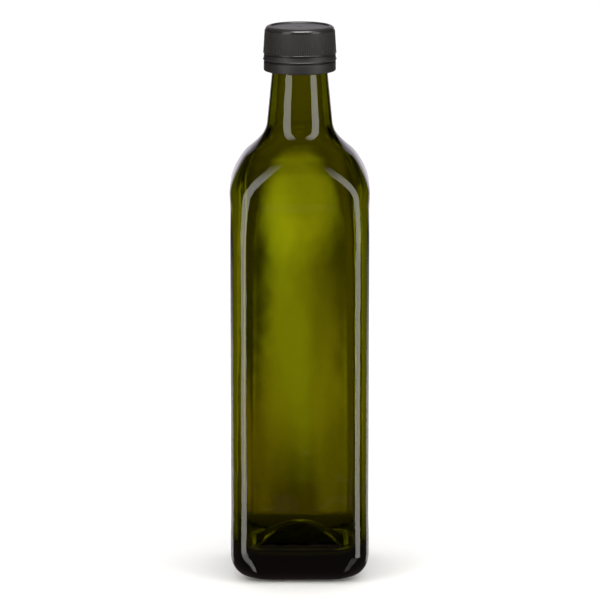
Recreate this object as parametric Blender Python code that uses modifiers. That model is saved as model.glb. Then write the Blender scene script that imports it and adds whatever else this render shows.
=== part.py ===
"""A square glass bottle for liqueur, closed by a screw cap with a separate tamper-evident ring.

Units are metres, +Z is up, the front face looks along -Y and the origin is under the middle of the foot.
"""

import math

import bmesh
import bpy
from mathutils import Matrix, Vector
from mathutils.geometry import interpolate_bezier

# Whole bottle
TOTAL_HEIGHT = 0.2702
CLEARANCE = 0.0003

# Glass body, seen as rounded squares that turn into circles up the shoulder
PANEL_HALF = 0.0335
CORNER = 0.01065
WALL = 0.0029
WALL_SQUARENESS = 0.38
HEEL_INSET = 0.0106
HEEL_HEIGHT = 0.0137
HEEL_BAND_RISE = 0.0002
HEEL_BAND_TOP = 0.0330
FOOT_CORNER = 0.0126
SHOULDER_BAND_RISE = 0.0004
SHOULDER_BAND_FOOT = 0.1835
SHOULDER_FOOT = 0.1912
ROUNDING_FOOT = 0.1677
ROUNDING_TOP = 0.2168
ROUNDING_POWER = 1.25
SHOULDER_SQUARENESS = 0.21
CIRCLE_HANDLE = 0.5523

# Shoulder curve: a convex arch that turns hollow half-way up, then the tapered neck
SHOULDER_FOOT_REACH = 0.0030
ARCH_END_HALF = 0.0272
ARCH_END_Z = 0.2079
ARCH_END_SLOPE = math.radians(34.0)
ARCH_END_REACH = 0.0097
HOLLOW_REACH = 0.0043
NECK_FOOT_HALF = 0.01592
NECK_FOOT_Z = 0.2227
NECK_FOOT_REACH = 0.0066
NECK_TAPER = math.radians(5.62)

# Base: a flat ring to stand on round a punt, and a domed floor inside
PUNT_RADIUS = 0.0205
PUNT_RISE = 0.0090
FLOOR_Z = 0.0125
FLOOR_HALF = 0.0215
FLOOR_CORNER = 0.0100
INNER_HEEL_RISE = 0.0085
DOME_RISE = 0.0110
DOME_SHARES = (1.0, 0.84, 0.66, 0.46, 0.24)

# Mouth of the bottle, under the cap
NECK_TOP_Z = 0.2500
BEAD_RADIUS = 0.0156
BEAD_BOTTOM = 0.2516
BEAD_HEIGHT = 0.0013
FINISH_RADIUS = 0.0149
MOUTH_RADIUS = 0.0093
LIP_ROUND = 0.0009

# Cap
CAP_HEIGHT = 0.0164
CAP_TOP_RADIUS = 0.0171
CAP_LIP_RADIUS = 0.0176
CAP_BAND_RADIUS = 0.01778
CAP_BAND_HEIGHT = 0.0041
CAP_EDGE_ROUND = 0.0022
CAP_HEM_ROUND = 0.0004
RECESS_RADIUS = 0.0141
RECESS_DEPTH = 0.0007
RECESS_WALL_SLOPE = 0.0004
CAP_ROOF = 0.0013
RIB_COUNT = 108
RIB_DEPTH = 0.00025
RIB_TOP_DROP = 0.0019

# Tamper-evident ring
RING_GAP = 0.0007
RING_HEIGHT = 0.0046
RING_RADIUS = 0.01742
RING_WALL = 0.0013
RING_CHAMFER = 0.0006
RING_LIP_RADIUS = 0.0148
RING_LIP_HEIGHT = 0.0024

# Fineness of the meshes
SIDES = 4
SEGMENTS_PER_SIDE = 10
TURNED_STEPS = 54
HEEL_STEPS = 7
CURVE_STEPS = 8
BAND_STEPS = 4
ROUND_STEPS = 4
SHARP_DEGREES = 50
WELD = 0.00001

LIP_Z = TOTAL_HEIGHT - RECESS_DEPTH - CAP_ROOF - CLEARANCE
CAP_BOTTOM = TOTAL_HEIGHT - CAP_HEIGHT
RING_TOP = CAP_BOTTOM - RING_GAP
RING_BOTTOM = RING_TOP - RING_HEIGHT


def clear_scene():
    for old in list(bpy.data.objects):
        bpy.data.objects.remove(old, do_unlink=True)


def new_collection(name):
    collection = bpy.data.collections.new(name)
    bpy.context.scene.collection.children.link(collection)
    return collection


def principled(name, colour, roughness, transmission=0.0):
    material = bpy.data.materials.new(name)
    material.use_nodes = True
    shader = material.node_tree.nodes["Principled BSDF"]
    shader.inputs["Base Color"].default_value = (*colour, 1.0)
    shader.inputs["Roughness"].default_value = roughness
    shader.inputs["Metallic"].default_value = 0.0
    shader.inputs["Transmission Weight"].default_value = transmission
    return material


def add_object(name, mesh, collection, material=None):
    obj = bpy.data.objects.new(name, mesh)
    collection.objects.link(obj)
    if material:
        mesh.materials.append(material)
    return obj


def arc(centre, radii, start, end, steps):
    """Points (half, z) of an elliptical arc; angles in degrees, 0 outwards and 90 up."""
    points = []
    for step in range(steps + 1):
        angle = math.radians(start + (end - start) * step / steps)
        points.append((centre[0] + radii[0] * math.cos(angle), centre[1] + radii[1] * math.sin(angle)))
    return points


def bezier(start, start_handle, end_handle, end, steps):
    corners = [Vector((half, z, 0.0)) for half, z in (start, start_handle, end_handle, end)]
    return [(point.x, point.y) for point in interpolate_bezier(*corners, steps + 1)]


def along(point, slope, distance):
    """The point that lies this far up the outline, which leans inwards by the slope."""
    return (point[0] - distance * math.sin(slope), point[1] + distance * math.cos(slope))


def shoulder_outline():
    """The outside as (half width, z) from the panel's top, over the band and the arch, to the neck's foot."""
    panel_top = (PANEL_HALF, SHOULDER_BAND_FOOT)
    shoulder_foot = (PANEL_HALF + SHOULDER_BAND_RISE, SHOULDER_FOOT)
    arch_end = (ARCH_END_HALF, ARCH_END_Z)
    neck_foot = (NECK_FOOT_HALF, NECK_FOOT_Z)
    band_reach = (SHOULDER_FOOT - SHOULDER_BAND_FOOT) / 2
    band = bezier(
        panel_top,
        along(panel_top, 0.0, band_reach),
        along(shoulder_foot, 0.0, -band_reach),
        shoulder_foot,
        BAND_STEPS,
    )
    arch = bezier(
        shoulder_foot,
        along(shoulder_foot, 0.0, SHOULDER_FOOT_REACH),
        along(arch_end, ARCH_END_SLOPE, -ARCH_END_REACH),
        arch_end,
        CURVE_STEPS,
    )
    hollow = bezier(
        arch_end,
        along(arch_end, ARCH_END_SLOPE, HOLLOW_REACH),
        along(neck_foot, NECK_TAPER, -NECK_FOOT_REACH),
        neck_foot,
        CURVE_STEPS,
    )
    return band + arch[1:] + hollow[1:]


def panel_top_heights():
    """Heights at the top of the panel, where the corners already start to widen."""
    return [ROUNDING_FOOT, (ROUNDING_FOOT + SHOULDER_BAND_FOOT) / 2]


def body_outline():
    """The outside of the glass as (half width, z), from the foot to just below the panel's top."""
    heel_half = PANEL_HALF + HEEL_BAND_RISE
    outline = arc((heel_half - HEEL_INSET, HEEL_HEIGHT), (HEEL_INSET, HEEL_HEIGHT), -90, 0, HEEL_STEPS)
    outline += [(heel_half, (HEEL_HEIGHT + HEEL_BAND_TOP) / 2), (PANEL_HALF, HEEL_BAND_TOP)]
    return outline + [(PANEL_HALF, z) for z in panel_top_heights()]


def rounding_share(z):
    """How far up the shoulder this height is, from the square body to the round neck."""
    share = (z - ROUNDING_FOOT) / (ROUNDING_TOP - ROUNDING_FOOT)
    return min(max(share, 0.0), 1.0)


def corner_radius(half, z):
    """How round the outside section is at this height: squarish in the body, a circle in the neck."""
    if z < HEEL_HEIGHT:
        foot_half = PANEL_HALF + HEEL_BAND_RISE - HEEL_INSET
        share = (half - foot_half) / HEEL_INSET
        return FOOT_CORNER + (CORNER - FOOT_CORNER) * share
    return min(CORNER + (half - CORNER) * rounding_share(z) ** ROUNDING_POWER, half)


def corner_handle(z):
    """The corner curve's handle as a share of its radius; half-way up the shoulder it is squarer than round."""
    share = rounding_share(z)
    return CIRCLE_HANDLE + SHOULDER_SQUARENESS * 4 * share * (1 - share)


def on_corner(flat, corner, handle, share):
    """The point (x, y) that lies this share of the way along the curve from one flat to the next."""
    rest = 1 - share
    near = 3 * rest * rest * share
    far = 3 * rest * share * share
    x = flat + corner * (near * handle + far + share ** 3)
    y = flat + corner * (near + far * handle + rest ** 3)
    return x, y


def inset(outline, distance):
    """The outline moved inwards, partly sideways and partly square to itself."""
    moved = []
    for index, (half, z) in enumerate(outline):
        before = outline[max(index - 1, 0)]
        after = outline[min(index + 1, len(outline) - 1)]
        run = Vector((after[0] - before[0], after[1] - before[1])).normalized()
        sideways = 1 - WALL_SQUARENESS * (1 - run.y)
        moved.append((half - sideways * distance, z + WALL_SQUARENESS * run.x * distance))
    return moved


def section(half, corner, z, handle=CIRCLE_HANDLE):
    """Corner points of a rounded square; the flats shrink to nothing as it becomes a circle."""
    flat = half - corner
    flat_share = 2 / SEGMENTS_PER_SIDE * flat / half
    points = []
    for side in range(SIDES):
        for step in range(SEGMENTS_PER_SIDE):
            share = step / SEGMENTS_PER_SIDE
            on_arc = (share - flat_share) / (1 - 2 * flat_share)
            if on_arc < 0:
                x, y = flat * share / flat_share, half
            elif on_arc > 1:
                x, y = half, flat * (1 - share) / flat_share
            else:
                x, y = on_corner(flat, corner, handle, on_arc)
            points.append(Matrix.Rotation(-side * math.tau / SIDES, 3, "Z") @ Vector((x, y, z)))
    return points


def loft(name, sections, first_tip, last_tip):
    """One closed skin through the sections, each end brought to a point on the axis at its given height."""
    mesh = bmesh.new()
    loops = [[mesh.verts.new(point) for point in section(*ring)] for ring in sections]
    count = len(loops[0])
    for below, above in zip(loops, loops[1:]):
        for index in range(count):
            following = (index + 1) % count
            mesh.faces.new((below[index], above[index], above[following], below[following]))
    for height, loop in ((first_tip, loops[0]), (last_tip, loops[-1])):
        tip = mesh.verts.new((0.0, 0.0, height))
        for index in range(count):
            mesh.faces.new((loop[index], loop[(index + 1) % count], tip))
    bmesh.ops.recalc_face_normals(mesh, faces=mesh.faces)
    data = bpy.data.meshes.new(name)
    mesh.to_mesh(data)
    mesh.free()
    return data


def dome_sections(radius, foot, rise):
    """Round sections of a shallow dome, from its rim inwards."""
    return [(radius * share, radius * share, foot + rise * (1 - share * share)) for share in DOME_SHARES]


def floor_sections():
    """The dome on the floor inside, a rounded square at its foot and round at its top."""
    sections = []
    for half, _, z in dome_sections(FLOOR_HALF, FLOOR_Z, DOME_RISE)[1:]:
        share = half / FLOOR_HALF
        sections.append((half, half + (FLOOR_CORNER * share - half) * share, z))
    return sections


def mouth_sections():
    """Round sections from the neck's top over the bead, the land for the cap and the lip, into the bore."""
    bead_top = BEAD_BOTTOM + BEAD_HEIGHT
    bead_slope = BEAD_RADIUS - FINISH_RADIUS
    neck_top = NECK_FOOT_HALF - (NECK_TOP_Z - NECK_FOOT_Z) * math.tan(NECK_TAPER)
    outline = [(neck_top, NECK_TOP_Z), (BEAD_RADIUS, BEAD_BOTTOM), (BEAD_RADIUS, bead_top)]
    outline += [(FINISH_RADIUS, bead_top + bead_slope)]
    round_z = LIP_Z - LIP_ROUND
    outline += arc((FINISH_RADIUS - LIP_ROUND, round_z), (LIP_ROUND, LIP_ROUND), 0, 90, ROUND_STEPS)
    outline += arc((MOUTH_RADIUS + LIP_ROUND, round_z), (LIP_ROUND, LIP_ROUND), 90, 180, ROUND_STEPS)
    return [(radius, radius, z) for radius, z in outline]


def hollow_sections():
    """The inside of the glass, from the neck's foot down to the floor."""
    outside = shoulder_outline()
    sections = []
    for (half, z), outer in zip(inset(outside, WALL), outside):
        corner = min(corner_radius(*outer) - WALL, half)
        sections.insert(0, (half, corner, z, corner_handle(outer[1])))
    inner_half = PANEL_HALF - WALL
    inner_corner = CORNER - WALL
    for z in reversed(panel_top_heights()):
        sections.append((inner_half, corner_radius(PANEL_HALF, z) - WALL, z, corner_handle(z)))
    heel_reach = inner_half - FLOOR_HALF
    heel = arc((FLOOR_HALF, FLOOR_Z + INNER_HEEL_RISE), (heel_reach, INNER_HEEL_RISE), 0, -90, HEEL_STEPS)
    for half, z in heel:
        share = (half - FLOOR_HALF) / heel_reach
        sections.append((half, FLOOR_CORNER + (inner_corner - FLOOR_CORNER) * share, z))
    return sections


def build_bottle(collection, material):
    punt = dome_sections(PUNT_RADIUS, 0.0, PUNT_RISE)
    outline = body_outline() + shoulder_outline()
    skin = [(half, corner_radius(half, z), z, corner_handle(z)) for half, z in outline]
    rings = [*reversed(punt), *skin, *mouth_sections(), *hollow_sections(), *floor_sections()]
    mesh = loft("bottle", rings, PUNT_RISE, FLOOR_Z + DOME_RISE)
    mesh.shade_smooth()
    mesh.set_sharp_from_angle(angle=math.radians(SHARP_DEGREES))
    return add_object("bottle", mesh, collection, material)


def turned(name, outline, collection, material=None):
    """A solid of revolution; the outline starts at the top and runs down its outer side."""
    mesh = bpy.data.meshes.new(name)
    points = [(radius, 0.0, z) for radius, z in outline]
    mesh.from_pydata(points, [(index, index + 1) for index in range(len(points) - 1)], [])
    obj = add_object(name, mesh, collection, material)
    screw = obj.modifiers.new("Turn", "SCREW")
    screw.steps = TURNED_STEPS
    screw.render_steps = TURNED_STEPS
    screw.use_merge_vertices = True
    screw.merge_threshold = WELD
    return obj


def as_helper(obj):
    obj.hide_render = True
    obj.display_type = "WIRE"
    return obj


def boolean(obj, operation, helper):
    modifier = obj.modifiers.new(operation, "BOOLEAN")
    modifier.operation = operation
    modifier.solver = "EXACT"
    modifier.object = helper


def cap_outline():
    """The cap's outside without its ribs, and a plain underside that the cavity is cut from."""
    recess_foot = RECESS_RADIUS - RECESS_WALL_SLOPE
    edge = (CAP_TOP_RADIUS - CAP_EDGE_ROUND, TOTAL_HEIGHT - CAP_EDGE_ROUND)
    band_top = CAP_BOTTOM + CAP_BAND_HEIGHT
    hem = (CAP_BAND_RADIUS - CAP_HEM_ROUND, CAP_BOTTOM + CAP_HEM_ROUND)
    outline = [(0.0, TOTAL_HEIGHT - RECESS_DEPTH), (recess_foot, TOTAL_HEIGHT - RECESS_DEPTH)]
    outline += [(RECESS_RADIUS, TOTAL_HEIGHT)]
    outline += arc(edge, (CAP_EDGE_ROUND, CAP_EDGE_ROUND), 90, 0, ROUND_STEPS)
    outline += [(CAP_LIP_RADIUS - RIB_DEPTH, band_top + CLEARANCE), (CAP_BAND_RADIUS, band_top)]
    outline += arc(hem, (CAP_HEM_ROUND, CAP_HEM_ROUND), 0, -90, ROUND_STEPS)
    return outline + [(0.0, CAP_BOTTOM)]


def build_ribs(collection):
    """A many-pointed cone: its points are the cap's grip ribs."""
    top = TOTAL_HEIGHT - RIB_TOP_DROP
    bottom = CAP_BOTTOM + CAP_BAND_HEIGHT
    mesh = bmesh.new()
    made = bmesh.ops.create_cone(
        mesh,
        cap_ends=True,
        segments=2 * RIB_COUNT,
        radius1=CAP_LIP_RADIUS,
        radius2=CAP_TOP_RADIUS,
        depth=top - bottom,
    )
    for vertex in made["verts"]:
        turn = math.atan2(vertex.co.y, vertex.co.x) / math.tau * 2 * RIB_COUNT
        if round(turn) % 2:
            radius = vertex.co.to_2d().length
            vertex.co.xy *= (radius - RIB_DEPTH) / radius
        vertex.co.z += (top + bottom) / 2
    data = bpy.data.meshes.new("cap_ribs")
    mesh.to_mesh(data)
    mesh.free()
    return as_helper(add_object("cap_ribs", data, collection))


def build_cap(parts, helpers, material):
    cap = turned("cap", cap_outline(), parts, material)
    boolean(cap, "UNION", build_ribs(helpers))
    inside = FINISH_RADIUS + CLEARANCE
    roof = TOTAL_HEIGHT - RECESS_DEPTH - CAP_ROOF
    below = CAP_BOTTOM - CAP_HEM_ROUND
    cavity = turned("cap_cavity", [(0.0, roof), (inside, roof), (inside, below), (0.0, below)], helpers)
    boolean(cap, "DIFFERENCE", as_helper(cavity))
    return cap


def build_ring(collection, material):
    """The band that stays on the neck when the cap is first twisted off; its inner lip catches the bead."""
    inner = RING_RADIUS - RING_WALL
    ledge = RING_BOTTOM + RING_LIP_HEIGHT
    outline = [
        (inner, RING_TOP),
        (RING_RADIUS, RING_TOP),
        (RING_RADIUS, RING_BOTTOM + RING_CHAMFER),
        (RING_RADIUS - RING_CHAMFER, RING_BOTTOM),
        (RING_LIP_RADIUS, RING_BOTTOM),
        (RING_LIP_RADIUS, ledge),
        (inner, ledge),
        (inner, RING_TOP),
    ]
    return turned("tamper_ring", outline, collection, material)


clear_scene()
PARTS = new_collection("liqueur_bottle")
HELPERS = new_collection("helpers")
HELPERS.hide_render = True
GLASS = principled("green_glass", (0.16, 0.17, 0.01), 0.05, transmission=1.0)
PLASTIC = principled("black_plastic", (0.03, 0.028, 0.028), 0.45)

build_bottle(PARTS, GLASS)
build_cap(PARTS, HELPERS, PLASTIC)
build_ring(PARTS, PLASTIC)
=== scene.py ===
"""Looks of an empty square liqueur bottle: olive green glass, a black screw cap and its ring.

Metres, +Z up. The front panel faces -Y, and the origin is under the middle of the foot.
"""

import math

import bmesh
import bpy
from mathutils import Matrix, Vector, noise
from mathutils.geometry import interpolate_bezier


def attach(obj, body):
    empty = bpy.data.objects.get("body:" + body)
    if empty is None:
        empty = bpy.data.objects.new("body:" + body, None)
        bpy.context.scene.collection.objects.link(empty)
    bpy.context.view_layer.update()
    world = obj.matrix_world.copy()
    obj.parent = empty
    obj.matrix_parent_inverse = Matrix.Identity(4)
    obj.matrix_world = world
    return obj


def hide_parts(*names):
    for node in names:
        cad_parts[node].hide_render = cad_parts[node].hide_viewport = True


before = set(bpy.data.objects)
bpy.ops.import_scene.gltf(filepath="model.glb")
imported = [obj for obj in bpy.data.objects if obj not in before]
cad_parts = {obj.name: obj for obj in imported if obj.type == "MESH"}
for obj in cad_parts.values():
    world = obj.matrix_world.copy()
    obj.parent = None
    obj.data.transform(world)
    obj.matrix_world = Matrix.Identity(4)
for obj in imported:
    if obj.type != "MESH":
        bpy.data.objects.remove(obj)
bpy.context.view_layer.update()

# The glass bottle
# One piece of olive green container glass, blown in a square mould: rounded corners, panels sunk
# between a band at the heel and one at the shoulder, and a wall that wanders a little inside.
PANEL_HALF = 0.0335
CORNER = 0.01065
WALL = 0.0029
WALL_SQUARENESS = 0.38
SOFTENING_PASSES = 6
WAVE_DEPTH = 0.00022
WAVES_ROUND = 62.0
WAVES_UP = 7.0
HEEL_INSET = 0.0106
HEEL_HEIGHT = 0.0137
HEEL_BAND_RISE = 0.0002
HEEL_BAND_TOP = 0.0330
FOOT_CORNER = 0.0126
SHOULDER_BAND_RISE = 0.0004
SHOULDER_BAND_FOOT = 0.1835
SHOULDER_FOOT = 0.1912
ROUNDING_FOOT = 0.1677
ROUNDING_TOP = 0.2168
ROUNDING_POWER = 1.25
SHOULDER_SQUARENESS = 0.21
CIRCLE_HANDLE = 0.5523
SHOULDER_FOOT_REACH = 0.0030
ARCH_END_HALF = 0.0272
ARCH_END_Z = 0.2079
ARCH_END_SLOPE = math.radians(34.0)
ARCH_END_REACH = 0.0097
HOLLOW_REACH = 0.0043
NECK_FOOT_HALF = 0.01592
NECK_FOOT_Z = 0.2227
NECK_FOOT_REACH = 0.0066
NECK_TAPER = math.radians(5.62)
NECK_TOP_Z = 0.2500
BEAD_RADIUS = 0.0156
BEAD_BOTTOM = 0.2516
BEAD_HEIGHT = 0.0013
FINISH_RADIUS = 0.0149
MOUTH_RADIUS = 0.0093
LIP_Z = 0.2679
LIP_ROUND = 0.0009
PUNT_RADIUS = 0.0205
PUNT_RISE = 0.0090
FLOOR_Z = 0.0125
FLOOR_HALF = 0.0215
FLOOR_CORNER = 0.0100
INNER_HEEL_RISE = 0.0085
DOME_RISE = 0.0110

GLASS_IOR = 1.52
GLASS_TINT = (0.78, 0.785, 0.0, 1.0)
GLASS_DENSITY = 1000.0
SKIN_PATTERN_SCALE = 42.0
SKIN_PATTERN_DETAIL = 1.5
SKIN_UNEVENNESS = 0.0004
GLASS_EDGE = math.radians(40)

SIDES = 4
SEGMENTS_PER_SIDE = 48
FLAT_STEPS_SHARE = 0.2
HEEL_STEPS = 18
CURVE_STEPS = 24
BODY_STEPS = 36
BAND_STEPS = 8
NECK_STEPS = 6
ROUND_STEPS = 6
DOME_STEPS = 12


def arc(centre, radii, start, end, steps):
    """Points (half, z) of an elliptical arc; angles in degrees, 0 outwards and 90 up."""
    points = []
    for step in range(steps + 1):
        angle = math.radians(start + (end - start) * step / steps)
        points.append((centre[0] + radii[0] * math.cos(angle), centre[1] + radii[1] * math.sin(angle)))
    return points


def bezier(start, start_handle, end_handle, end, steps):
    corners = [Vector((half, z, 0.0)) for half, z in (start, start_handle, end_handle, end)]
    return [(point.x, point.y) for point in interpolate_bezier(*corners, steps + 1)]


def straight(start, end, steps):
    """Points along a line, without its two ends."""
    shares = [step / steps for step in range(1, steps)]
    return [(start[0] + (end[0] - start[0]) * s, start[1] + (end[1] - start[1]) * s) for s in shares]


def along(point, slope, distance):
    """The point that lies this far up the outline, which leans inwards by the slope."""
    return (point[0] - distance * math.sin(slope), point[1] + distance * math.cos(slope))


def softened(outline):
    """The outline with its bends evened out, as blown glass doesn't follow the mould into every bend."""
    for _ in range(SOFTENING_PASSES):
        neighbours = zip(outline, outline[1:], outline[2:])
        evened = [tuple((a + 2 * b + c) / 4 for a, b, c in zip(*three)) for three in neighbours]
        outline = [outline[0], *evened, outline[-1]]
    return outline


def shoulder_outline():
    """The outside of the glass from the panel's top, over the band and the arch, to the neck's foot."""
    panel_top = (PANEL_HALF, SHOULDER_BAND_FOOT)
    shoulder_foot = (PANEL_HALF + SHOULDER_BAND_RISE, SHOULDER_FOOT)
    band_reach = (SHOULDER_FOOT - SHOULDER_BAND_FOOT) / 2
    band_first = along(panel_top, 0.0, band_reach)
    band_last = along(shoulder_foot, 0.0, -band_reach)
    band = bezier(panel_top, band_first, band_last, shoulder_foot, BAND_STEPS)
    arch_end = (ARCH_END_HALF, ARCH_END_Z)
    neck_foot = (NECK_FOOT_HALF, NECK_FOOT_Z)
    arch_first = along(shoulder_foot, 0.0, SHOULDER_FOOT_REACH)
    arch_last = along(arch_end, ARCH_END_SLOPE, -ARCH_END_REACH)
    hollow_first = along(arch_end, ARCH_END_SLOPE, HOLLOW_REACH)
    hollow_last = along(neck_foot, NECK_TAPER, -NECK_FOOT_REACH)
    arch = bezier(shoulder_foot, arch_first, arch_last, arch_end, CURVE_STEPS)
    hollow = bezier(arch_end, hollow_first, hollow_last, neck_foot, CURVE_STEPS)
    return softened(band + arch[1:] + hollow[1:])


def body_outline():
    """The outside of the glass from the foot to just below the panel's top."""
    heel_half = PANEL_HALF + HEEL_BAND_RISE
    outline = arc((heel_half - HEEL_INSET, HEEL_HEIGHT), (HEEL_INSET, HEEL_HEIGHT), -90, 0, HEEL_STEPS)
    heel_top = (heel_half, (HEEL_HEIGHT + HEEL_BAND_TOP) / 2)
    panel_foot = (PANEL_HALF, HEEL_BAND_TOP)
    panel_top = (PANEL_HALF, SHOULDER_BAND_FOOT)
    return outline + [heel_top, panel_foot, *straight(panel_foot, panel_top, BODY_STEPS)]


def rounding_share(z):
    """How far up the shoulder this height is, from the square body to the round neck."""
    share = (z - ROUNDING_FOOT) / (ROUNDING_TOP - ROUNDING_FOOT)
    return min(max(share, 0.0), 1.0)


def corner_radius(half, z):
    """How round the outside section is at this height: squarish in the body, a circle in the neck."""
    if z < HEEL_HEIGHT:
        foot_half = PANEL_HALF + HEEL_BAND_RISE - HEEL_INSET
        share = (half - foot_half) / HEEL_INSET
        return FOOT_CORNER + (CORNER - FOOT_CORNER) * share
    return min(CORNER + (half - CORNER) * rounding_share(z) ** ROUNDING_POWER, half)


def corner_handle(z):
    """The corner curve's handle as a share of its radius; half-way up the shoulder it is squarer."""
    share = rounding_share(z)
    return CIRCLE_HANDLE + SHOULDER_SQUARENESS * 4 * share * (1 - share)


def on_corner(flat, corner, handle, share):
    """The point (x, y) that lies this share of the way along the curve from one flat to the next."""
    rest = 1 - share
    near = 3 * rest * rest * share
    far = 3 * rest * share * share
    x = flat + corner * (near * handle + far + share ** 3)
    y = flat + corner * (near + far * handle + rest ** 3)
    return x, y


def inset(outline, distance):
    """The outline moved inwards, partly sideways and partly square to itself."""
    moved = []
    for index, (half, z) in enumerate(outline):
        before = outline[max(index - 1, 0)]
        after = outline[min(index + 1, len(outline) - 1)]
        run = Vector((after[0] - before[0], after[1] - before[1])).normalized()
        sideways = 1 - WALL_SQUARENESS * (1 - run.y)
        moved.append((half - sideways * distance, z + WALL_SQUARENESS * run.x * distance))
    return moved


def section(half, corner, z, handle=CIRCLE_HANDLE):
    """Points and outward directions of a rounded square; it may be a circle."""
    flat = half - corner
    flat_share = FLAT_STEPS_SHARE * flat / half
    points = []
    for side in range(SIDES):
        turn_to_side = Matrix.Rotation(-side * math.tau / SIDES, 3, "Z")
        for step in range(SEGMENTS_PER_SIDE):
            share = step / SEGMENTS_PER_SIDE
            on_arc = (share - flat_share) / (1 - 2 * flat_share)
            turn = min(max(on_arc, 0.0), 1.0) * math.tau / SIDES
            outwards = Vector((math.sin(turn), math.cos(turn), 0.0))
            if on_arc < 0:
                point = Vector((flat * share / flat_share, half, z))
            elif on_arc > 1:
                point = Vector((half, flat * (1 - share) / flat_share, z))
            else:
                point = Vector((*on_corner(flat, corner, handle, on_arc), z))
            points.append((turn_to_side @ point, turn_to_side @ outwards))
    return points


def dome_sections(radius, foot, rise):
    """Round sections of a shallow dome, from its rim to just short of its top."""
    shares = [1 - step / DOME_STEPS for step in range(DOME_STEPS)]
    return [(radius * share, radius * share, foot + rise * (1 - share * share)) for share in shares]


def floor_sections():
    """The dome on the floor inside, a rounded square at its foot and round at its top."""
    sections = []
    for half, _, z in dome_sections(FLOOR_HALF, FLOOR_Z, DOME_RISE)[1:]:
        share = half / FLOOR_HALF
        sections.append((half, half + (FLOOR_CORNER * share - half) * share, z))
    return sections


def mouth_sections():
    """Round sections from the neck's top over the bead, the land for the cap and the lip, into the bore."""
    bead_top = BEAD_BOTTOM + BEAD_HEIGHT
    bead_slope = BEAD_RADIUS - FINISH_RADIUS
    neck_top = NECK_FOOT_HALF - (NECK_TOP_Z - NECK_FOOT_Z) * math.tan(NECK_TAPER)
    outline = straight((NECK_FOOT_HALF, NECK_FOOT_Z), (neck_top, NECK_TOP_Z), NECK_STEPS)
    outline += [(neck_top, NECK_TOP_Z), (BEAD_RADIUS, BEAD_BOTTOM), (BEAD_RADIUS, bead_top)]
    outline += [(FINISH_RADIUS, bead_top + bead_slope)]
    round_z = LIP_Z - LIP_ROUND
    outline += arc((FINISH_RADIUS - LIP_ROUND, round_z), (LIP_ROUND, LIP_ROUND), 0, 90, ROUND_STEPS)
    outline += arc((MOUTH_RADIUS + LIP_ROUND, round_z), (LIP_ROUND, LIP_ROUND), 90, 180, ROUND_STEPS)
    return [(radius, radius, z) for radius, z in outline]


def hollow_sections():
    """The inside of the glass, from the bore down to the floor's dome."""
    outside = shoulder_outline()
    sections = []
    for (half, z), outer in zip(inset(outside, WALL), outside):
        corner = min(corner_radius(*outer) - WALL, half)
        sections.insert(0, (half, corner, z, corner_handle(outer[1])))
    bore_foot = sections[0]
    bore = straight((MOUTH_RADIUS, LIP_Z - LIP_ROUND), (bore_foot[0], bore_foot[2]), NECK_STEPS)
    sections = [(radius, radius, z) for radius, z in bore] + sections
    inner_half = PANEL_HALF - WALL
    inner_corner = CORNER - WALL
    heel_top = (inner_half, FLOOR_Z + INNER_HEEL_RISE)
    for half, z in straight((inner_half, SHOULDER_BAND_FOOT), heel_top, BODY_STEPS):
        sections.append((half, corner_radius(PANEL_HALF, z) - WALL, z, corner_handle(z)))
    heel_reach = inner_half - FLOOR_HALF
    heel = arc((FLOOR_HALF, heel_top[1]), (heel_reach, INNER_HEEL_RISE), 0, -90, HEEL_STEPS)
    for half, z in heel:
        share = (half - FLOOR_HALF) / heel_reach
        sections.append((half, FLOOR_CORNER + (inner_corner - FLOOR_CORNER) * share, z))
    return sections


def wander(point):
    """How much thicker or thinner the blown wall is at this point of its inside."""
    place = (point.x * WAVES_ROUND, point.y * WAVES_ROUND, point.z * WAVES_UP)
    return WAVE_DEPTH * noise.noise(place)


def loft(name, outside, inside, first_tip, last_tip):
    """One closed skin through all the sections, each end brought to a point on the axis."""
    mesh = bmesh.new()
    loops = [[mesh.verts.new(point) for point, _ in section(*ring)] for ring in outside]
    for ring in inside:
        loops.append([mesh.verts.new(point - outwards * wander(point)) for point, outwards in section(*ring)])
    count = SIDES * SEGMENTS_PER_SIDE
    for below, above in zip(loops, loops[1:]):
        for index in range(count):
            following = (index + 1) % count
            mesh.faces.new((below[index], above[index], above[following], below[following]))
    for height, loop in ((first_tip, loops[0]), (last_tip, loops[-1])):
        tip = mesh.verts.new((0.0, 0.0, height))
        for index in range(count):
            mesh.faces.new((loop[index], loop[(index + 1) % count], tip))
    bmesh.ops.recalc_face_normals(mesh, faces=mesh.faces)
    data = bpy.data.meshes.new(name)
    mesh.to_mesh(data)
    mesh.free()
    obj = bpy.data.objects.new(name, data)
    bpy.context.scene.collection.objects.link(obj)
    return obj


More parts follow.
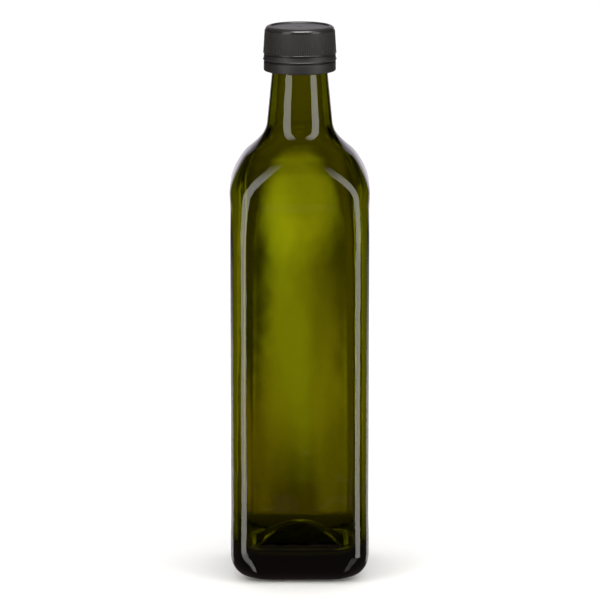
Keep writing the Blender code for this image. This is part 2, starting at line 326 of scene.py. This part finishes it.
def bottle_glass():
    """Clear glossy glass that takes the blue out of the light, its skin a little uneven from the mould."""
    material = bpy.data.materials.new("olive_bottle_glass")
    material.use_nodes = True
    nodes = material.node_tree.nodes
    link = material.node_tree.links.new
    shader = nodes["Principled BSDF"]
    shader.inputs["Base Color"].default_value = (1.0, 1.0, 1.0, 1.0)
    shader.inputs["Roughness"].default_value = 0.0
    shader.inputs["IOR"].default_value = GLASS_IOR
    shader.inputs["Transmission Weight"].default_value = 1.0
    place = nodes.new("ShaderNodeTexCoord")
    unevenness = nodes.new("ShaderNodeTexNoise")
    unevenness.inputs["Scale"].default_value = SKIN_PATTERN_SCALE
    unevenness.inputs["Detail"].default_value = SKIN_PATTERN_DETAIL
    bump = nodes.new("ShaderNodeBump")
    bump.inputs["Strength"].default_value = 1.0
    bump.inputs["Distance"].default_value = SKIN_UNEVENNESS
    link(place.outputs["Object"], unevenness.inputs["Vector"])
    link(unevenness.outputs["Fac"], bump.inputs["Height"])
    link(bump.outputs["Normal"], shader.inputs["Normal"])
    absorption = nodes.new("ShaderNodeVolumeAbsorption")
    absorption.inputs["Color"].default_value = GLASS_TINT
    absorption.inputs["Density"].default_value = GLASS_DENSITY
    link(absorption.outputs["Volume"], nodes["Material Output"].inputs["Volume"])
    return material


outline = body_outline() + shoulder_outline()
skin = [(half, corner_radius(half, z), z, corner_handle(z)) for half, z in outline]
punt = dome_sections(PUNT_RADIUS, 0.0, PUNT_RISE)
glass_outside = [*reversed(punt), *skin, *mouth_sections()]
glass_inside = hollow_sections() + floor_sections()
glass = loft("glass_bottle", glass_outside, glass_inside, PUNT_RISE, FLOOR_Z + DOME_RISE)
glass.data.shade_smooth()
glass.data.set_sharp_from_angle(angle=GLASS_EDGE)
glass.data.materials.append(bottle_glass())
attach(glass, "root")
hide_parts("bottle")

# The screw cap
# Moulded polypropylene, black right through, with a satin skin: a dished top that keeps the mould's
# gate mark, upright grip ribs, and a smooth flared band that the ribs stand on.
TOTAL_HEIGHT = 0.2702
CAP_HEIGHT = 0.0164
CAP_TOP_RADIUS = 0.0171
CAP_LIP_RADIUS = 0.0176
CAP_BAND_RADIUS = 0.01778
CAP_BAND_HEIGHT = 0.0041
CAP_LIP_ROUND = 0.00045
CAP_LIP_ARC = (100, -90)
CAP_GROOVE_RADIUS = 0.0170
CAP_GROOVE_HEIGHT = 0.0004
CAP_EDGE_ROUND = 0.0022
CAP_HEM_ROUND = 0.0004
FLARE_REACH = 0.00045
FLARE_HEIGHT = 0.0024
FLARE_ARC = (180, 250)
RECESS_RADIUS = 0.0141
RECESS_DEPTH = 0.0007
RECESS_WALL_SLOPE = 0.0003
RECESS_EDGE_ROUND = 0.0003
CAP_ROOF = 0.0013
CLEARANCE = 0.0003
GATE_RADIUS = 0.0011
GATE_DEPTH = 0.0002
RIB_COUNT = 108
RIB_DEPTH = 0.00028
RIB_RADIUS = 0.00032
RIB_TIP_RADIUS = 0.00018
RIB_TOP_DROP = 0.0019
RIB_SIDES = 10
TURNED_SEGMENTS = 216
PLASTIC_EDGE = math.radians(35)
# Shares of the cap's height with the roughness there: the lip and the top edge are polished
POLISH_STOPS = (
    (0.0, 0.44),
    (0.21, 0.44),
    (0.22, 0.16),
    (0.25, 0.16),
    (0.265, 0.50),
    (0.84, 0.50),
    (0.88, 0.14),
    (0.94, 0.16),
    (0.956, 0.36),
    (1.0, 0.36),
)
PLASTIC_GLOSS = 0.30
PLASTIC_TONES = ((0.0070, 0.0062, 0.0060, 1.0), (0.0115, 0.0102, 0.0099, 1.0))
CLOUD_SCALE = 260.0
CLOUD_DETAIL = 4.0
CLOUD_HAZE = 0.08
GRAIN_SCALE = 5200.0
GRAIN_STRENGTH = 0.25
GRAIN_DEPTH = 0.00002
CAP_BOTTOM = TOTAL_HEIGHT - CAP_HEIGHT
BAND_TOP = CAP_BOTTOM + CAP_BAND_HEIGHT


def turned(name, outline, closed=False):
    """A solid of revolution; the outline (radius, z) is closed on itself or ends on the axis."""
    mesh = bmesh.new()
    turns = [Matrix.Rotation(turn * math.tau / TURNED_SEGMENTS, 3, "Z") for turn in range(TURNED_SEGMENTS)]
    rings = []
    for radius, z in outline:
        point = Vector((radius, 0.0, z))
        rings.append([mesh.verts.new(turn @ point) for turn in (turns if radius > 0 else turns[:1])])
    following_rings = rings[1:] + rings[:1] if closed else rings[1:]
    for first, second in zip(rings, following_rings):
        for index in range(TURNED_SEGMENTS):
            following = index + 1
            corners = (
                first[index % len(first)],
                first[following % len(first)],
                second[following % len(second)],
                second[index % len(second)],
            )
            mesh.faces.new(dict.fromkeys(corners))
    bmesh.ops.recalc_face_normals(mesh, faces=mesh.faces)
    data = bpy.data.meshes.new(name)
    mesh.to_mesh(data)
    mesh.free()
    obj = bpy.data.objects.new(name, data)
    bpy.context.scene.collection.objects.link(obj)
    return obj


def cap_outline():
    """The cap from the middle of its top, down its outside and up its inside to the roof over the mouth."""
    dish_z = TOTAL_HEIGHT - RECESS_DEPTH
    edge = (CAP_TOP_RADIUS - RIB_DEPTH - CAP_EDGE_ROUND, TOTAL_HEIGHT - CAP_EDGE_ROUND)
    hem = (CAP_BAND_RADIUS - CAP_HEM_ROUND, CAP_BOTTOM + CAP_HEM_ROUND)
    cavity_radius = FINISH_RADIUS + CLEARANCE
    outline = [(0.0, dish_z - GATE_DEPTH), (GATE_RADIUS / 2, dish_z - GATE_DEPTH), (GATE_RADIUS, dish_z)]
    outline += straight((GATE_RADIUS, dish_z), (RECESS_RADIUS - RECESS_WALL_SLOPE, dish_z), ROUND_STEPS)
    outline += [(RECESS_RADIUS - RECESS_WALL_SLOPE, dish_z)]
    recess_edge = (RECESS_RADIUS + RECESS_EDGE_ROUND, TOTAL_HEIGHT - RECESS_EDGE_ROUND)
    outline += arc(recess_edge, (RECESS_EDGE_ROUND, RECESS_EDGE_ROUND), 180, 90, ROUND_STEPS)
    outline += arc(edge, (CAP_EDGE_ROUND, CAP_EDGE_ROUND), 90, 0, ROUND_STEPS)
    lip_foot = BAND_TOP - 2 * CAP_LIP_ROUND
    groove_foot = lip_foot - CAP_GROOVE_HEIGHT
    lip = (CAP_BAND_RADIUS - CAP_LIP_ROUND, BAND_TOP - CAP_LIP_ROUND)
    outline += arc(lip, (CAP_LIP_ROUND, CAP_LIP_ROUND), *CAP_LIP_ARC, ROUND_STEPS)
    outline += [(CAP_GROOVE_RADIUS, lip_foot), (CAP_GROOVE_RADIUS, groove_foot)]
    outline += arc((CAP_BAND_RADIUS, groove_foot), (FLARE_REACH, FLARE_HEIGHT), *FLARE_ARC, ROUND_STEPS)
    outline += arc(hem, (CAP_HEM_ROUND, CAP_HEM_ROUND), 0, -90, ROUND_STEPS)
    outline += [(cavity_radius, CAP_BOTTOM), (cavity_radius, dish_z - CAP_ROOF), (0.0, dish_z - CAP_ROOF)]
    return outline


def grip_ribs_tree(material):
    """A geometry node group that adds upright ribs round the cap, and the names of its three inputs."""
    tree = bpy.data.node_groups.new("grip_ribs", "GeometryNodeTree")
    tree.interface.new_socket("Geometry", in_out="INPUT", socket_type="NodeSocketGeometry")
    count = tree.interface.new_socket("Rib Count", in_out="INPUT", socket_type="NodeSocketInt")
    length = tree.interface.new_socket("Rib Length", in_out="INPUT", socket_type="NodeSocketFloat")
    radius = tree.interface.new_socket("Foot Radius", in_out="INPUT", socket_type="NodeSocketFloat")
    tree.interface.new_socket("Geometry", in_out="OUTPUT", socket_type="NodeSocketGeometry")
    add = tree.nodes.new
    link = tree.links.new
    given = add("NodeGroupInput")
    result = add("NodeGroupOutput")

    rib = add("GeometryNodeMeshCone")
    rib.inputs["Vertices"].default_value = RIB_SIDES
    rib.inputs["Radius Top"].default_value = RIB_TIP_RADIUS
    rib.inputs["Radius Bottom"].default_value = RIB_RADIUS
    link(given.outputs["Rib Length"], rib.inputs["Depth"])

    outwards = add("ShaderNodeCombineXYZ")
    outwards.inputs["Z"].default_value = BAND_TOP
    link(given.outputs["Foot Radius"], outwards.inputs["X"])
    lean = math.atan((CAP_LIP_RADIUS - CAP_TOP_RADIUS) / (CAP_HEIGHT - CAP_BAND_HEIGHT - RIB_TOP_DROP))
    placed = add("GeometryNodeTransform")
    placed.inputs["Rotation"].default_value = (0.0, -lean, 0.0)
    link(rib.outputs["Mesh"], placed.inputs["Geometry"])
    link(outwards.outputs["Vector"], placed.inputs["Translation"])

    points = add("GeometryNodeMeshLine")
    points.inputs["Offset"].default_value = (0.0, 0.0, 0.0)
    link(given.outputs["Rib Count"], points.inputs["Count"])
    step = add("ShaderNodeMath")
    step.operation = "DIVIDE"
    step.inputs[0].default_value = math.tau
    link(given.outputs["Rib Count"], step.inputs[1])
    turn = add("ShaderNodeMath")
    turn.operation = "MULTIPLY"
    link(add("GeometryNodeInputIndex").outputs["Index"], turn.inputs[0])
    link(step.outputs[0], turn.inputs[1])
    rotation = add("ShaderNodeCombineXYZ")
    link(turn.outputs[0], rotation.inputs["Z"])

    ribs = add("GeometryNodeInstanceOnPoints")
    link(points.outputs["Mesh"], ribs.inputs["Points"])
    link(placed.outputs["Geometry"], ribs.inputs["Instance"])
    link(rotation.outputs["Vector"], ribs.inputs["Rotation"])
    joined = add("GeometryNodeJoinGeometry")
    link(given.outputs["Geometry"], joined.inputs["Geometry"])
    link(ribs.outputs["Instances"], joined.inputs["Geometry"])
    realized = add("GeometryNodeRealizeInstances")
    finished = add("GeometryNodeSetMaterial")
    finished.inputs["Material"].default_value = material
    link(joined.outputs["Geometry"], realized.inputs["Geometry"])
    link(realized.outputs["Geometry"], finished.inputs["Geometry"])
    link(finished.outputs["Geometry"], result.inputs["Geometry"])
    return tree, count.identifier, length.identifier, radius.identifier


def black_plastic():
    """Black polypropylene with the fine haze and slight unevenness that a polished mould leaves."""
    material = bpy.data.materials.new("black_plastic_satin")
    material.use_nodes = True
    add = material.node_tree.nodes.new
    link = material.node_tree.links.new
    shader = material.node_tree.nodes["Principled BSDF"]
    shader.inputs["Specular IOR Level"].default_value = PLASTIC_GLOSS
    place = add("ShaderNodeTexCoord")
    cloud = add("ShaderNodeTexNoise")
    cloud.inputs["Scale"].default_value = CLOUD_SCALE
    cloud.inputs["Detail"].default_value = CLOUD_DETAIL
    tone = add("ShaderNodeMix")
    tone.data_type = "RGBA"
    tone.inputs["A"].default_value, tone.inputs["B"].default_value = PLASTIC_TONES
    height = add("ShaderNodeMapRange")
    height.inputs["From Min"].default_value = CAP_BOTTOM
    height.inputs["From Max"].default_value = TOTAL_HEIGHT
    split = add("ShaderNodeSeparateXYZ")
    polish = add("ShaderNodeValToRGB")
    elements = polish.color_ramp.elements
    given_ends = {0.0: 0, 1.0: -1}
    for stop, roughness in POLISH_STOPS:
        element = elements[given_ends[stop]] if stop in given_ends else elements.new(stop)
        element.color = (roughness, roughness, roughness, 1.0)
    haze = add("ShaderNodeMath")
    haze.operation = "MULTIPLY_ADD"
    haze.inputs[1].default_value = CLOUD_HAZE
    grain = add("ShaderNodeTexNoise")
    grain.inputs["Scale"].default_value = GRAIN_SCALE
    bump = add("ShaderNodeBump")
    bump.inputs["Strength"].default_value = GRAIN_STRENGTH
    bump.inputs["Distance"].default_value = GRAIN_DEPTH
    link(place.outputs["Object"], cloud.inputs["Vector"])
    link(place.outputs["Object"], grain.inputs["Vector"])
    link(cloud.outputs["Fac"], tone.inputs["Factor"])
    link(place.outputs["Object"], split.inputs["Vector"])
    link(split.outputs["Z"], height.inputs["Value"])
    link(height.outputs["Result"], polish.inputs["Fac"])
    link(cloud.outputs["Fac"], haze.inputs[0])
    link(polish.outputs["Color"], haze.inputs[2])
    link(grain.outputs["Fac"], bump.inputs["Height"])
    link(tone.outputs["Result"], shader.inputs["Base Color"])
    link(haze.outputs["Value"], shader.inputs["Roughness"])
    link(bump.outputs["Normal"], shader.inputs["Normal"])
    return material


plastic = black_plastic()
cap = turned("screw_cap", cap_outline())
ribs_tree, count_socket, length_socket, radius_socket = grip_ribs_tree(plastic)
ribs = cap.modifiers.new("Grip ribs", "NODES")
ribs.node_group = ribs_tree
ribs[count_socket] = RIB_COUNT
ribs[length_socket] = CAP_HEIGHT - CAP_BAND_HEIGHT - RIB_TOP_DROP
ribs[radius_socket] = CAP_LIP_RADIUS - RIB_RADIUS
evaluated = cap.evaluated_get(bpy.context.evaluated_depsgraph_get())
cap.data = bpy.data.meshes.new_from_object(evaluated)
cap.modifiers.remove(ribs)
cap.data.shade_smooth()
cap.data.set_sharp_from_angle(angle=PLASTIC_EDGE)
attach(cap, "root")
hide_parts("cap")

# The tamper-evident ring
# The same black plastic. It breaks off the cap at the first twist and stays below it on the neck,
# held by its inner lip under the bead of the glass.
RING_GAP = 0.0007
RING_HEIGHT = 0.0046
RING_RADIUS = 0.01742
RING_WALL = 0.0013
RING_CHAMFER = 0.0006
RING_EDGE_ROUND = 0.0002
RING_COLLAR_WALL = 0.0003
RING_COLLAR_GAP = 0.0001
RING_LIP_RADIUS = 0.0148
RING_LIP_HEIGHT = 0.0024
RING_TOP = CAP_BOTTOM - RING_GAP
RING_BOTTOM = RING_TOP - RING_HEIGHT
RING_INSIDE = RING_RADIUS - RING_WALL
RING_LEDGE = RING_BOTTOM + RING_LIP_HEIGHT

top_edge = (RING_RADIUS - RING_EDGE_ROUND, RING_TOP - RING_EDGE_ROUND)
bottom_edge = (RING_RADIUS - RING_CHAMFER, RING_BOTTOM + RING_CHAMFER)
collar_top = CAP_BOTTOM - RING_COLLAR_GAP
ring_outline = [(RING_INSIDE, collar_top), (RING_INSIDE + RING_COLLAR_WALL, collar_top)]
ring_outline += [(RING_INSIDE + RING_COLLAR_WALL, RING_TOP)]
ring_outline += arc(top_edge, (RING_EDGE_ROUND, RING_EDGE_ROUND), 90, 0, ROUND_STEPS)
ring_outline += arc(bottom_edge, (RING_CHAMFER, RING_CHAMFER), 0, -90, ROUND_STEPS)
ring_outline += [(RING_LIP_RADIUS, RING_BOTTOM), (RING_LIP_RADIUS, RING_LEDGE), (RING_INSIDE, RING_LEDGE)]
ring = turned("tamper_evident_ring", ring_outline, closed=True)
ring.data.shade_smooth()
ring.data.set_sharp_from_angle(angle=PLASTIC_EDGE)
ring.data.materials.append(plastic)
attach(ring, "root")
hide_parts("tamper_ring")

# The floor
# A wide sheet of matt white paper that also fills the view behind the bottle. The glass neither
# mirrors nor shows it, and stays as dark as glass does between black cards.
FLOOR_HALF_SIZE = 7.0
FLOOR_GAP = 0.0002
PAPER_COLOUR = (0.97, 0.97, 0.97, 1.0)
PAPER_ROUGHNESS = 0.9


def level_corners(half, z):
    """Corners of a level square sheet centred under the bottle."""
    return [(x * half, y * half, z) for x, y in ((-1, -1), (1, -1), (1, 1), (-1, 1))]


floor_mesh = bpy.data.meshes.new("floor")
floor_mesh.from_pydata(level_corners(FLOOR_HALF_SIZE, -FLOOR_GAP), [], [(0, 1, 2, 3)])
floor = bpy.data.objects.new("floor", floor_mesh)
bpy.context.scene.collection.objects.link(floor)
paper = bpy.data.materials.new("pale_paper")
paper.use_nodes = True
paper.node_tree.nodes["Principled BSDF"].inputs["Base Color"].default_value = PAPER_COLOUR
paper.node_tree.nodes["Principled BSDF"].inputs["Roughness"].default_value = PAPER_ROUGHNESS
floor_mesh.materials.append(paper)
floor.visible_glossy = False
floor.visible_transmission = False

# The light
# Tall softboxes left and right of the camera, their gleam on the table, and rim light behind: these
# mirror in the surfaces. A sheet with soft patches of light behind the bottle, a dim wall round it
# and a dim sheet below show through the glass only. One lamp shines on the black plastic alone.
AIM_HEIGHT = 0.15
FOOT_AIM_HEIGHT = 0.01
SOFTBOX_DISTANCE = 1.0
# Name, direction, height aimed at, brightness, and the outline as degrees to the right and up
SOFTBOXES = (
    ("left_softbox", -46.0, AIM_HEIGHT, 3.8,
     ((-62, -24), (-33, -24), (-31, 35), (-19, 52), (-12, 60), (-19, 65), (-44, 65), (-58, 48))),
    ("right_softbox", 58.0, AIM_HEIGHT, 3.9,
     ((45, -24), (72, -24), (70, 40), (52, 60), (30, 65), (20, 61), (25, 51), (42, 35))),
    ("left_table_gleam", -30.0, FOOT_AIM_HEIGHT, 2.3,
     ((-58, -17), (-24, -17), (-6, -24), (-3, -46), (-8, -72), (-24, -72), (-22, -46), (-40, -26))),
    ("right_table_gleam", 40.0, FOOT_AIM_HEIGHT, 0.70,
     ((24, -17), (62, -17), (52, -30), (38, -46), (36, -70), (8, -70), (4, -46), (14, -28))),
)
SOFTBOX_WARMTH = Vector((1.0, 0.975, 0.90))
SOFTBOX_BAND = (0.0, 1.65, 0.75)
CAP_LIGHT_PLACE = Vector((0.10, -0.50, 1.14))
CAP_LIGHT_SIZE = (0.80, 0.26)
CAP_LIGHT_POWER = 25.0
TABLE_Z = -4.2
TABLE_HALF = 15.6
TABLE_GLOW = (0.08, 0.063, 0.056)
UNDER_Z = -0.60
UNDER_HALF = 0.55
UNDER_GLOW = (0.30, 0.29, 0.20)
SHEET_DISTANCE = 0.35
SHEET_HALF_WIDTH = 0.17
SHEET_BOTTOM = -0.30
SHEET_TOP = 0.40
SHEET_DIM = (0.045, 0.037, 0.02)
# Middle (x, z), half size (x, z), softness of the edge, tilt in degrees and colour
PATCHES = (
    ((-0.002, 0.119), (0.0250, 0.0275), 0.56, 0, (0.57, 0.58, 0.38)),
    ((-0.011, 0.100), (0.011, 0.032), 0.50, 0, (0.10, 0.13, 0.10)),
    ((-0.007, 0.048), (0.014, 0.064), 0.60, -5, (0.25, 0.29, 0.20)),
    ((0.000, 0.033), (0.0235, 0.072), 0.42, 0, (0.315, 0.285, 0.20)),
    ((0.0205, -0.022), (0.010, 0.056), 0.60, 0, (0.20, 0.175, 0.09)),
    ((-0.0205, -0.028), (0.009, 0.045), 0.60, 0, (0.18, 0.135, 0.10)),
    ((0.052, 0.030), (0.030, 0.120), 0.40, 0, (0.11, 0.085, 0.10)),
    ((-0.060, -0.030), (0.028, 0.045), 0.50, 0, (0.26, 0.18, 0.10)),
    ((0.000, -0.085), (0.034, 0.035), 0.50, 0, (0.09, 0.06, 0.05)),
    ((0.000, 0.200), (0.105, 0.062), 0.40, 0, (0.10, 0.085, 0.05)),
    ((-0.150, 0.045), (0.034, 0.115), 0.24, 0, (1.10, 1.00, 0.90)),
    ((0.156, 0.045), (0.036, 0.115), 0.24, 0, (0.95, 0.85, 0.80)),
)
WALL_RADIUS = 0.45
WALL_SIDES = 48
WALL_TOP = 0.60
WALL_GLOW = (0.42, 0.41, 0.33)
WALL_BAND = (0.06, 0.15, 0.10)
RIM_DISTANCE = 0.60
RIM_HALF_WIDTH = 0.42
RIM_BOTTOM = -0.30
RIM_TOP = 0.80
RIM_GLOW = (0.82, 0.77, 0.84)
RIM_BAND = (0.02, 0.30, 0.13)
RIM_UPWARDS = (0.16, 0.56, 0.15)
SIDE_RIM_GLOW = (1.50, 1.38, 1.42)
SIDE_RIM_ENDS = ((0.30, 0.52), (0.52, 0.30))
SIDE_RIM_UPWARDS = (-0.12, 0.14, 0.08)
STUDIO_BRIGHTNESS = 1.10


def backdrop(name, points, colour, seen, colour_of=None):
    """A luminous sheet that the camera doesn't see; seen names the kinds of ray that do."""
    mesh = bpy.data.meshes.new(name)
    mesh.from_pydata(points, [], [range(len(points))])
    obj = bpy.data.objects.new(name, mesh)
    bpy.context.scene.collection.objects.link(obj)
    material = bpy.data.materials.new(name)
    material.use_nodes = True
    nodes = material.node_tree.nodes
    nodes.remove(nodes["Principled BSDF"])
    glow = nodes.new("ShaderNodeEmission")
    glow.inputs["Color"].default_value = (*colour, 1.0)
    if colour_of:
        material.node_tree.links.new(colour_of(material.node_tree, colour), glow.inputs["Color"])
    material.node_tree.links.new(glow.outputs["Emission"], nodes["Material Output"].inputs["Surface"])
    mesh.materials.append(material)
    obj.visible_camera = False
    obj.visible_shadow = False
    obj.visible_diffuse = "diffuse" in seen
    obj.visible_glossy = "gloss" in seen
    obj.visible_transmission = "glass" in seen
    return obj


def place_on_backdrop(tree):
    return tree.nodes.new("ShaderNodeTexCoord").outputs["Object"]


def band(tree, coordinate, middle, half, softness):
    """1 inside a band along one coordinate and 0 outside it, with a soft edge."""
    offset = tree.nodes.new("ShaderNodeMath")
    offset.operation = "SUBTRACT"
    offset.inputs[1].default_value = middle
    tree.links.new(coordinate, offset.inputs[0])
    away = tree.nodes.new("ShaderNodeMath")
    away.operation = "ABSOLUTE"
    tree.links.new(offset.outputs[0], away.inputs[0])
    return soft_edge(tree, away.outputs[0], half, softness)


def soft_edge(tree, distance, half, softness):
    edge = tree.nodes.new("ShaderNodeMapRange")
    edge.interpolation_type = "SMOOTHSTEP"
    edge.inputs["From Min"].default_value = half - softness
    edge.inputs["From Max"].default_value = half + softness
    edge.inputs["To Min"].default_value = 1.0
    edge.inputs["To Max"].default_value = 0.0
    tree.links.new(distance, edge.inputs["Value"])
    return edge.outputs["Result"]


def patch_of_light(tree, middle, half, softness, tilt):
    """1 inside an upright ellipse on the sheet and 0 outside it, with a soft edge."""
    shape = tree.nodes.new("ShaderNodeMapping")
    shape.vector_type = "TEXTURE"
    shape.inputs["Location"].default_value = (middle[0], SHEET_DISTANCE, middle[1])
    shape.inputs["Rotation"].default_value = (0.0, math.radians(tilt), 0.0)
    shape.inputs["Scale"].default_value = (half[0], 1.0, half[1])
    tree.links.new(place_on_backdrop(tree), shape.inputs["Vector"])
    length = tree.nodes.new("ShaderNodeVectorMath")
    length.operation = "LENGTH"
    tree.links.new(shape.outputs["Vector"], length.inputs[0])
    return soft_edge(tree, length.outputs["Value"], 1.0, softness)


def patches_of_light(tree, dim):
    """The dim sheet with its soft patches of light added up."""
    total = tree.nodes.new("ShaderNodeRGB").outputs["Color"]
    total.default_value = (*dim, 1.0)
    for *shape, colour in PATCHES:
        tinted = tree.nodes.new("ShaderNodeVectorMath")
        tinted.operation = "MULTIPLY_ADD"
        tinted.inputs[1].default_value = colour
        tree.links.new(patch_of_light(tree, *shape), tinted.inputs[0])
        tree.links.new(total, tinted.inputs[2])
        total = tinted.outputs["Vector"]
    return total


def banded(across, upwards):
    """A colour function for a sheet whose light fades towards its edges."""
    def colour_of(tree, colour):
        split = tree.nodes.new("ShaderNodeSeparateXYZ")
        tree.links.new(place_on_backdrop(tree), split.inputs["Vector"])
        patch = tree.nodes.new("ShaderNodeMath")
        patch.operation = "MULTIPLY"
        tree.links.new(band(tree, split.outputs["X"], *across), patch.inputs[0])
        tree.links.new(band(tree, split.outputs["Z"], *upwards), patch.inputs[1])
        tinted = tree.nodes.new("ShaderNodeVectorMath")
        tinted.operation = "MULTIPLY"
        tinted.inputs[1].default_value = colour
        tree.links.new(patch.outputs[0], tinted.inputs[0])
        return tinted.outputs["Vector"]
    return colour_of


def upright_corners(left, right, bottom, top):
    """Corners of an upright sheet whose ends stand on the floor points (x, y)."""
    return [(*left, bottom), (*right, bottom), (*right, top), (*left, top)]


EVERYWHERE = (0.0, 9.0, 0.1)
for name, heading, aim, brightness, outline in SOFTBOXES:
    turn = Matrix.Rotation(math.radians(heading), 3, "Z")
    points = []
    for azimuth, elevation in outline:
        aside = math.radians(azimuth - heading)
        rise = math.tan(math.radians(elevation)) / math.cos(aside)
        point = turn @ Vector((math.tan(aside), -1.0, rise)) * SOFTBOX_DISTANCE
        points.append((point.x, point.y, point.z + aim))
    if aim == AIM_HEIGHT:
        fade = banded(EVERYWHERE, SOFTBOX_BAND)
        backdrop(name, points, brightness * SOFTBOX_WARMTH, ("diffuse", "gloss"), fade)
    else:
        backdrop(name, points, brightness * SOFTBOX_WARMTH, ("gloss",))

plastic_pieces = bpy.data.collections.new("plastic_pieces")
plastic_pieces.objects.link(cap)
plastic_pieces.objects.link(ring)
cap_light_data = bpy.data.lights.new("cap_light", "AREA")
cap_light_data.shape = "RECTANGLE"
cap_light_data.size, cap_light_data.size_y = CAP_LIGHT_SIZE
cap_light_data.energy = CAP_LIGHT_POWER
cap_light = bpy.data.objects.new("cap_light", cap_light_data)
cap_light.location = CAP_LIGHT_PLACE
towards_cap = Vector((0.0, 0.0, CAP_BOTTOM)) - CAP_LIGHT_PLACE
cap_light.rotation_euler = towards_cap.to_track_quat("-Z", "Y").to_euler()
cap_light.light_linking.receiver_collection = plastic_pieces
bpy.context.scene.collection.objects.link(cap_light)
backdrop("dim_table", level_corners(TABLE_HALF, TABLE_Z), TABLE_GLOW, ("gloss",))
backdrop("under_sheet", level_corners(UNDER_HALF, UNDER_Z), UNDER_GLOW, ("glass",))

sheet_ends = ((-SHEET_HALF_WIDTH, SHEET_DISTANCE), (SHEET_HALF_WIDTH, SHEET_DISTANCE))
sheet_points = upright_corners(*sheet_ends, SHEET_BOTTOM, SHEET_TOP)
backdrop("back_sheet", sheet_points, SHEET_DIM, ("glass",), patches_of_light)

for side in range(WALL_SIDES):
    ends = [(side + step) * math.tau / WALL_SIDES for step in (0, 1)]
    ends = [(WALL_RADIUS * math.cos(end), WALL_RADIUS * math.sin(end)) for end in ends]
    wall_points = upright_corners(*ends, SHEET_BOTTOM, WALL_TOP)
    backdrop("wall_" + str(side), wall_points, WALL_GLOW, ("glass",), banded(EVERYWHERE, WALL_BAND))

rim_ends = ((-RIM_HALF_WIDTH, RIM_DISTANCE), (RIM_HALF_WIDTH, RIM_DISTANCE))
rim_points = upright_corners(*rim_ends, RIM_BOTTOM, RIM_TOP)
backdrop("rim_sheet", rim_points, RIM_GLOW, ("gloss",), banded(RIM_BAND, RIM_UPWARDS))
for side in (-1, 1):
    ends = [(side * x, y) for x, y in SIDE_RIM_ENDS]
    side_points = upright_corners(*ends, RIM_BOTTOM, RIM_TOP)
    backdrop("side_rim_sheet", side_points, SIDE_RIM_GLOW, ("gloss",), banded(EVERYWHERE, SIDE_RIM_UPWARDS))

world = bpy.data.worlds.new("studio")
world.use_nodes = True
world.node_tree.nodes["Background"].inputs["Color"].default_value = (1.0, 1.0, 1.0, 1.0)
world.node_tree.nodes["Background"].inputs["Strength"].default_value = STUDIO_BRIGHTNESS
world.cycles_visibility.glossy = False
world.cycles_visibility.transmission = False
bpy.context.scene.world = world
bpy.context.scene.view_settings.view_transform = "Standard"

# The camera
# It stands a little above the cap and looks slightly down, far enough off for the upright edges to
# stay nearly parallel.
CAMERA_ASIDE = 0.0001
CAMERA_DISTANCE = 1.85
CAMERA_HEIGHT = 0.5236
CAMERA_PITCH = math.radians(11.86)
FOCAL_PIXELS = 3868.5
FRAME_PIXELS = 600
SENSOR_WIDTH = 36.0

camera_data = bpy.data.cameras.new("camera")
camera_data.sensor_width = SENSOR_WIDTH
camera_data.lens = FOCAL_PIXELS / FRAME_PIXELS * SENSOR_WIDTH
camera = bpy.data.objects.new("camera", camera_data)
camera.location = (CAMERA_ASIDE, -CAMERA_DISTANCE, CAMERA_HEIGHT)
camera.rotation_euler = (math.pi / 2 - CAMERA_PITCH, 0.0, 0.0)
bpy.context.scene.collection.objects.link(camera)
bpy.context.scene.camera = camera
